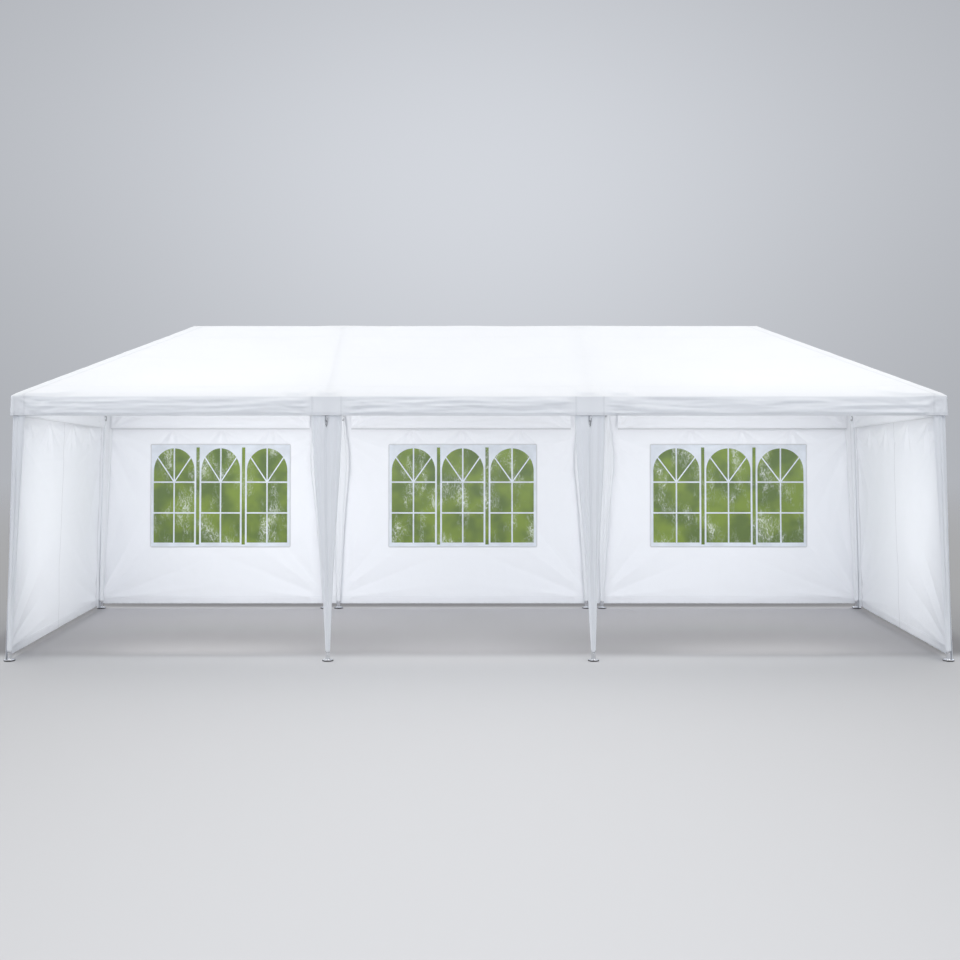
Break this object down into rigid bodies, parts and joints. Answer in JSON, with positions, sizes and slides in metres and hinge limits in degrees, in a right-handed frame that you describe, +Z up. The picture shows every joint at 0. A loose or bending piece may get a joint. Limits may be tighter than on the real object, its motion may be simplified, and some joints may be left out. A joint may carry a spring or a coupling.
{
  "type": "marquee tent",
  "caption": "White party marquee: hipped cloth roof with a valance on a steel tube frame, open front with tapered leg covers, windowed rear wall and plain end walls.",
  "frame": {"origin": "on the floor, under the middle of the footprint", "axes": "+X along the ridge to the right seen from the open front, +Y from the open front to the rear wall, +Z up"},
  "size_m": [9.218, 3.124, 3.3149],
  "materials": {
    "roof_cloth": "coated woven polyethylene, satin white",
    "wall_cloth": "coated woven polyethylene, satin white",
    "cover_cloth": "coated woven polyethylene, satin white",
    "clear_film": "thin clear PVC film with printed window bars",
    "tube_paint": "white powder coat",
    "bright_steel": "bright plated pressed steel"
  },
  "bodies": {
    "root": {"cover_front_inner_left": "cover_cloth", "cover_front_inner_right": "cover_cloth", "cover_front_left": "cover_cloth", "cover_front_right": "cover_cloth", "cover_rear_inner_left_a": "cover_cloth", "cover_rear_inner_left_b": "cover_cloth", "cover_rear_inner_right_a": "cover_cloth", "cover_rear_inner_right_b": "cover_cloth", "cover_rear_left": "cover_cloth", "cover_rear_right": "cover_cloth", "eave_rail_front": "tube_paint", "eave_rail_left": "tube_paint", "eave_rail_rear": "tube_paint", "eave_rail_right": "tube_paint", "foot_front_inner_left": "bright_steel", "foot_front_inner_right": "bright_steel", "foot_front_left": "bright_steel", "foot_front_right": "bright_steel", "foot_rear_inner_left_a": "bright_steel", "foot_rear_inner_left_b": "bright_steel", "foot_rear_inner_right_a": "bright_steel", "foot_rear_inner_right_b": "bright_steel", "foot_rear_left": "bright_steel", "foot_rear_right": "bright_steel", "hip_front_left": "tube_paint", "hip_front_right": "tube_paint", "hip_rear_left": "tube_paint", "hip_rear_right": "tube_paint", "leg_front_inner_left": "tube_paint", "leg_front_inner_right": "tube_paint", "leg_front_left": "tube_paint", "leg_front_right": "tube_paint", "leg_rear_inner_left_a": "tube_paint", "leg_rear_inner_left_b": "tube_paint", "leg_rear_inner_right_a": "tube_paint", "leg_rear_inner_right_b": "tube_paint", "leg_rear_left": "tube_paint", "leg_rear_right": "tube_paint", "rafter_front_left": "tube_paint", "rafter_front_right": "tube_paint", "rafter_rear_left": "tube_paint", "rafter_rear_right": "tube_paint", "ridge_rail": "tube_paint", "roof_front": "roof_cloth", "roof_left": "roof_cloth", "roof_rear": "roof_cloth", "roof_right": "roof_cloth", "wall_left": "wall_cloth", "wall_rear_left": "wall_cloth", "wall_rear_middle": "wall_cloth", "wall_rear_right": "wall_cloth", "wall_right": "wall_cloth", "window_left": "clear_film", "window_middle": "clear_film", "window_right": "clear_film"}
  },
  "joints": []
}
